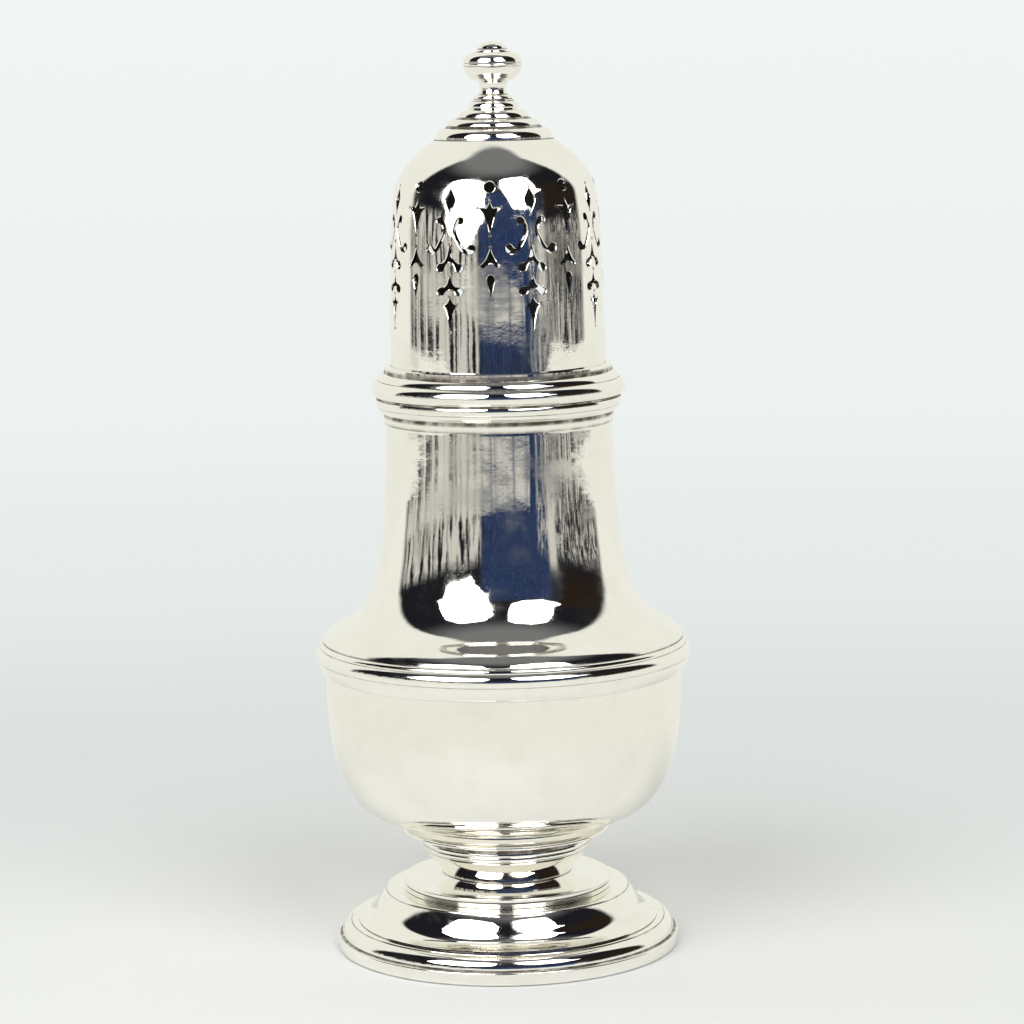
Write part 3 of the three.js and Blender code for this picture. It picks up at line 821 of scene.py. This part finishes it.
polished = makeSilver("polishedSilver", finishes["polished"])
# the inside finish is dull silver, and its near-black colour is painted shade
dullWithPaintedShade = makeSilver("dullInsideWithPaintedShade", finishes["dullWithPaintedShade"])
for piece in pieces:
    piece.data.materials.append(polished)
    piece.data.materials.append(dullWithPaintedShade)
print("silver finished")

# the tent: pale paper behind and beside, a dark room in front, two soft boxes beside the camera
paperFloor = {
    "radius": 1.6,
    "sides": 96,
    "front": 0.79,              # where the paper ends, towards the camera
    "drop": 0.0002,
    "colour": (0.62, 0.63, 0.612, 1),
    "lift": 0.3,                # light that comes through the paper
    "lit": (0.84, 0.85, 0.79, 1),       # the far paper, as the silver sees it
    "fade": (0.07, 0.2),        # m from the middle, where the sight of it gives way to the backdrop
    "roughness": 0.9,
    "sheen": 0.1,
}


def stageMesh(bm, name):
    mesh = bpy.data.meshes.new(name)
    bm.to_mesh(mesh)
    bm.free()
    thing = bpy.data.objects.new(name, mesh)
    scene.collection.objects.link(thing)
    return thing


bm = bmesh.new()
bmesh.ops.create_circle(bm, cap_ends=True, segments=paperFloor["sides"], radius=paperFloor["radius"])
bmesh.ops.translate(bm, verts=bm.verts, vec=(0, 0, -paperFloor["drop"]))
bmesh.ops.bisect_plane(
    bm, geom=bm.verts[:] + bm.edges[:] + bm.faces[:],
    plane_co=(0, -paperFloor["front"], 0), plane_no=(0, -1, 0), clear_outer=True,
)
floor = stageMesh(bm, "paperFloor")
paper = bpy.data.materials.new("palePaper")
paper.use_nodes = True
tree = paper.node_tree
shader = tree.nodes["Principled BSDF"]
shader.inputs["Base Color"].default_value = paperFloor["colour"]
shader.inputs["Roughness"].default_value = paperFloor["roughness"]
shader.inputs["Specular IOR Level"].default_value = paperFloor["sheen"]
shader.inputs["Emission Color"].default_value = paperFloor["colour"]
shader.inputs["Emission Strength"].default_value = paperFloor["lift"]
reach = addNode(tree, "ShaderNodeVectorMath", operation="LENGTH")
tree.links.new(addNode(tree, "ShaderNodeTexCoord").outputs["Object"], reach.inputs[0])
lit = addNode(tree, "ShaderNodeEmission")
lit.inputs["Color"].default_value = paperFloor["lit"]
sight = addNode(tree, "ShaderNodeLightPath").outputs["Is Camera Ray"]
beyond = addNode(tree, "ShaderNodeMixShader")
tree.links.new(sight, beyond.inputs[0])
tree.links.new(lit.outputs[0], beyond.inputs[1])
tree.links.new(addNode(tree, "ShaderNodeBsdfTransparent").outputs[0], beyond.inputs[2])
blend = addNode(tree, "ShaderNodeMixShader")
tree.links.new(ramp(tree, reach.outputs["Value"], *paperFloor["fade"]), blend.inputs[0])
tree.links.new(shader.outputs[0], blend.inputs[1])
tree.links.new(beyond.outputs[0], blend.inputs[2])
tree.links.new(blend.outputs[0], tree.nodes["Material Output"].inputs["Surface"])
floor.data.materials.append(paper)

# turns are in degrees from the camera's side, distances in m, outlines in mm across and up from the floor
softBoxLight = {"colour": (1, 0.99, 1, 1), "strength": 5.0}
softBoxes = [
    {
        "turn": -35,
        "distance": 0.44,
        "outline": [
            (-205, 260), (-120, 170), (50, 158), (180, 215), (205, 400), (205, 560), (130, 690),
            (-120, 700), (-205, 600),
        ],
    },
    {
        "turn": 28,
        "distance": 0.376,
        "outline": [
            (-150, 400), (-125, 290), (-60, 225), (50, 217), (115, 270), (195, 318), (192, 328),
            (140, 330), (150, 420), (150, 650), (90, 700), (-90, 700), (-150, 650),
        ],
    },
]
for number, box in enumerate(softBoxes):
    bm = bmesh.new()
    corners = [bm.verts.new((x * mm, -box["distance"], z * mm)) for x, z in box["outline"]]
    bm.faces.new(corners)
    swing = Matrix.Rotation(math.radians(box["turn"]), 3, "Z")
    bmesh.ops.rotate(bm, verts=bm.verts, cent=(0, 0, 0), matrix=swing)
    lamp = stageMesh(bm, f"softBox{number}")
    lamp.visible_camera = False
    glow = bpy.data.materials.new(f"softBoxGlow{number}")
    glow.use_nodes = True
    tree = glow.node_tree
    tree.nodes.clear()
    emit = addNode(tree, "ShaderNodeEmission")
    emit.inputs["Strength"].default_value = softBoxLight["strength"]
    emit.inputs["Color"].default_value = softBoxLight["colour"]
    tree.links.new(emit.outputs[0], addNode(tree, "ShaderNodeOutputMaterial").inputs["Surface"])
    lamp.data.materials.append(glow)

# angles are in degrees, round from the camera and up from level
room = {
    "paper": (0.86, 0.87, 0.81, 1),
    "dark": (0.012, 0.012, 0.016, 1),
    "brown": (0.02, 0.014, 0.01, 1),
    "navy": (0.014, 0.028, 0.085, 1),
    "ceiling": (0.18, 0.185, 0.19, 1),
    "streak": (0.6, 0.59, 0.55, 1),
    "glint": (0.2, 0.28, 0.45, 1),
    "tentEdge": (102, 109),     # where the dark gives way to the paper
    "ceilingRise": (50, 75),
    "ceilingTilt": 72,          # of the dark cap's middle
    "ceilingReach": (27, 33),   # from the cap's middle to its soft edge
    "stretch": (0.16, 0.05),    # across and up, for noise in upright stripes
    # scale, detail and roughness of a noise, then the range that it is cut to
    "stripes": ((2.0, 3.0), (0.42, 0.54)),
    "glare": ((1.1, 2.0), (0.3, 0.55, 0.3, 1.0)),
    "speckle": ((34.0, 5.0, 0.75), (0.46, 0.6)),
    "fleck": ((150.0, 3.0, 0.75), (0.52, 0.68, 0.0, 0.6)),
    # a patch's left, right, bottom, top and soft edge, its noise and its colour, in the order of painting
    "patches": [
        ((48, 106, 3, 38, 8), None, "brown"),
        ((-22, 50, -10, 24, 8), None, "navy"),
        ((-22, 60, -12, 26, 4), "fleck", "glint"),
        ((34, 106, -12, 6, 4), "speckle", "streak"),
        ((-104, -18, -12, 9, 4), "stripes", "streak"),
        ((44, 56, -4, 9, 4), None, "streak"),
        ((-104, 30, -3.6, -0.4, 1.2), "glare", "streak"),
    ],
    # colours of the backdrop straight past the object, from level down to steep; the darker step near -12
    # degrees is a painted shadow of the object on the paper behind it
    "sight": [
        (1, (0.88, 0.921, 0.913)),
        (-6.3, (0.847, 0.88, 0.871)),
        (-8.9, (0.799, 0.838, 0.822)),
        (-12.2, (0.716, 0.745, 0.73)),
        (-15.3, (0.831, 0.863, 0.838)),
    ],
}
world = bpy.data.worlds.new("tent")
scene.world = world
world.use_nodes = True
tree = world.node_tree
tree.nodes.clear()
direction = addNode(tree, "ShaderNodeTexCoord").outputs["Generated"]
parts = addNode(tree, "ShaderNodeSeparateXYZ")
tree.links.new(direction, parts.inputs[0])
x, y, z = parts.outputs
turn = calc(tree, "DEGREES", calc(tree, "ARCTAN2", x, calc(tree, "MULTIPLY", y, -1)))
rise = calc(tree, "DEGREES", calc(tree, "ARCSINE", z))


def patch(left, right, bottom, top, soft):
    share = calc(tree, "MULTIPLY", ramp(tree, turn, left, left + soft), ramp(tree, turn, right, right - soft))
    share = calc(tree, "MULTIPLY", share, ramp(tree, rise, bottom, bottom + soft))
    return calc(tree, "MULTIPLY", share, ramp(tree, rise, top, top - soft))


stretched = addNode(tree, "ShaderNodeCombineXYZ")
for socket, angle, stretch in zip(stretched.inputs, (turn, rise), room["stretch"]):
    feed(tree, socket, calc(tree, "MULTIPLY", angle, stretch))
stretched = stretched.outputs[0]
places = {"stripes": stretched, "glare": stretched, "speckle": direction, "fleck": direction}
masks = {}
for name, place in places.items():
    grain, cut = room[name]
    masks[name] = ramp(tree, noise(tree, place, *grain), *cut)
colour = blendColour(tree, ramp(tree, rise, *room["ceilingRise"]), room["dark"], room["ceiling"])
for edges, mask, paint in room["patches"]:
    share = patch(*edges)
    if mask:
        share = calc(tree, "MULTIPLY", share, masks[mask])
    colour = blendColour(tree, share, colour, room[paint])
tent = ramp(tree, calc(tree, "ABSOLUTE", turn), *room["tentEdge"])
tilt = math.radians(room["ceilingTilt"])
overhead = addNode(tree, "ShaderNodeVectorMath", operation="DOT_PRODUCT")
tree.links.new(direction, overhead.inputs[0])
overhead.inputs[1].default_value = (0, -math.cos(tilt), math.sin(tilt))
reach = [math.cos(math.radians(angle)) for angle in room["ceilingReach"]]
tent = calc(tree, "MULTIPLY", tent, ramp(tree, overhead.outputs["Value"], *reach))
colour = blendColour(tree, tent, colour, room["paper"])
# the backdrop straight past the object, with its painted shadow band
backdropWithPaintedShadow = room["sight"][0][1] + (1,)
for (upper, _), (lower, below) in zip(room["sight"], room["sight"][1:]):
    backdropWithPaintedShadow = blendColour(tree, ramp(tree, rise, upper, lower), backdropWithPaintedShadow, below + (1,))
colour = blendColour(tree, addNode(tree, "ShaderNodeLightPath").outputs["Is Camera Ray"], colour, backdropWithPaintedShadow)
background = addNode(tree, "ShaderNodeBackground")
tree.links.new(colour, background.inputs["Color"])
tree.links.new(background.outputs[0], addNode(tree, "ShaderNodeOutputWorld").inputs["Surface"])

scene.view_settings.view_transform = "Standard"
print("studio built")
